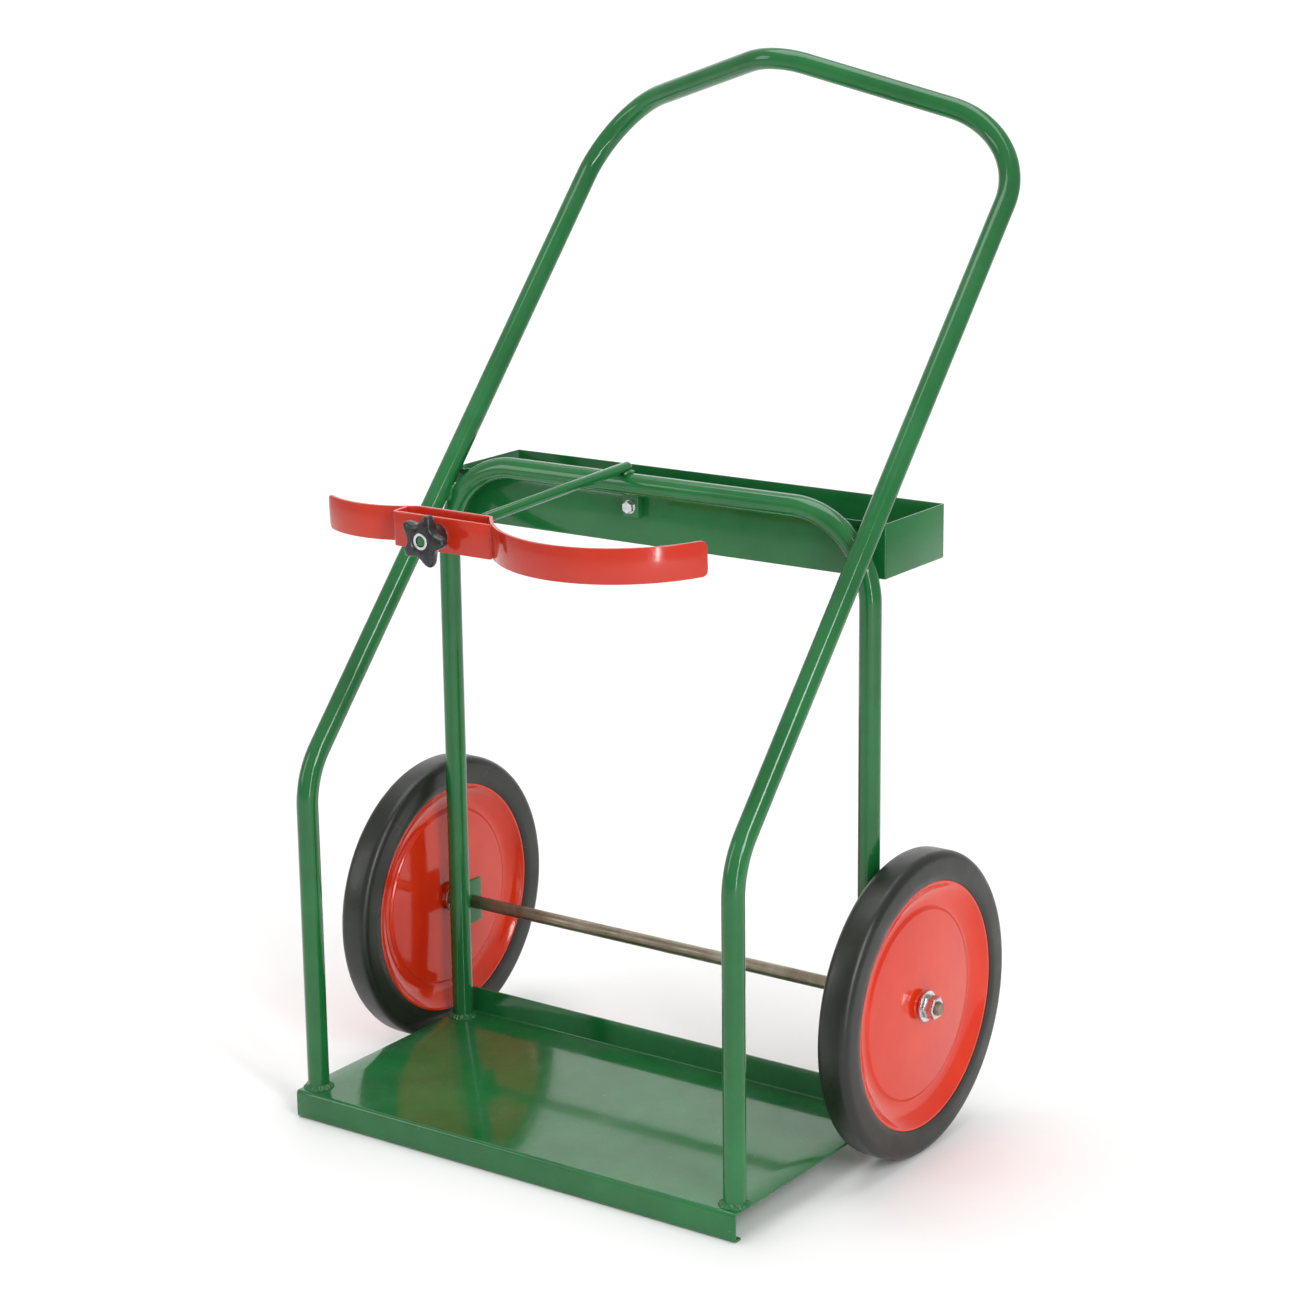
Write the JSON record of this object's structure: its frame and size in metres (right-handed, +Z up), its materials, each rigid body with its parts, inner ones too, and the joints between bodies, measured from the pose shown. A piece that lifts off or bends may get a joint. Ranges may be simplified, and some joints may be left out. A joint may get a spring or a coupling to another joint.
{
  "type": "two-cylinder gas cylinder trolley",
  "caption": "Tubular steel trolley for a pair of gas cylinders: pressed tray, leaning loop handle, tool tray, screw-tightened shaped strap, and pressed steel wheels with solid tyres.",
  "frame": {"origin": "centre of the underside of the tray's front foot flange, on the ground", "axes": "+X along the axle to the trolley's right as seen from the loading side, +Y from the loading side towards the wheels and handle, +Z up"},
  "size_m": [0.7528, 0.7211, 1.2179],
  "materials": {
    "frame_enamel": "gloss dark green enamel",
    "wheel_enamel": "gloss orange red enamel",
    "strap_enamel": "gloss red enamel",
    "tyre_rubber": "smooth black moulded rubber, slight sheen",
    "bare_steel": "bare drawn steel, oiled and darkened",
    "zinc": "bright zinc plate",
    "knob_plastic": "black moulded plastic"
  },
  "bodies": {
    "cart": {"base_tray": "frame_enamel", "handle_frame": "frame_enamel", "rear_frame": "frame_enamel", "foot_welds": "frame_enamel", "corner_welds": "frame_enamel", "tool_tray": "frame_enamel", "tool_tray_welds": "frame_enamel", "tool_tray_lug": "frame_enamel", "lug_bolt": "zinc", "lug_washers": "zinc", "lug_nut": "zinc", "axle_bracket_left": "frame_enamel", "axle_bracket_right": "frame_enamel", "axle": "bare_steel", "spacer_left": "bare_steel", "spacer_right": "bare_steel", "inner_washer_left": "zinc", "inner_washer_right": "zinc", "outer_washer_left": "zinc", "outer_washer_right": "zinc", "axle_nut_left": "zinc", "axle_nut_right": "zinc", "clamp_rod": "frame_enamel", "rod_weld": "frame_enamel"},
    "wheel_left": {"tyre_left": "tyre_rubber", "outer_disc_left": "wheel_enamel", "inner_disc_left": "wheel_enamel", "hub_left": "wheel_enamel"},
    "wheel_right": {"tyre_right": "tyre_rubber", "outer_disc_right": "wheel_enamel", "inner_disc_right": "wheel_enamel", "hub_right": "wheel_enamel"},
    "strap_carrier": {"clamp_washer": "zinc"},
    "strap": {"clamp_strap": "strap_enamel", "clamp_bridge": "strap_enamel"},
    "knob": {"knob_head": "knob_plastic", "knob_bush": "zinc"}
  },
  "joints": [
    {"name": "wheel_left_spin", "type": "hinge", "parent": "cart", "child": "wheel_left", "pos_m": [-0.34, 0.315, 0.178], "axis": [1, 0, 0], "continuous": true},
    {"name": "wheel_right_spin", "type": "hinge", "parent": "cart", "child": "wheel_right", "pos_m": [0.34, 0.315, 0.178], "axis": [1, 0, 0], "continuous": true},
    {"name": "clamp_travel", "type": "slide", "parent": "cart", "child": "strap_carrier", "axis": [0, 0.999, 0.0436], "range_m": [0, 0.0664]},
    {"name": "strap_swing", "type": "hinge", "parent": "strap_carrier", "child": "strap", "pos_m": [-0.034, -0.0197, 0.7464], "axis": [0, 0.999, 0.0436], "range_deg": [-90, 90]},
    {"name": "knob_turn", "type": "hinge", "parent": "strap_carrier", "child": "knob", "pos_m": [-0.034, -0.06866, 0.74426], "axis": [0, 0.999, 0.0436], "range_deg": [0, 13680]}
  ],
  "couplings": [
    {"joint": "knob_turn", "follows": "clamp_travel", "rad_per_m": 3590.4}
  ]
}
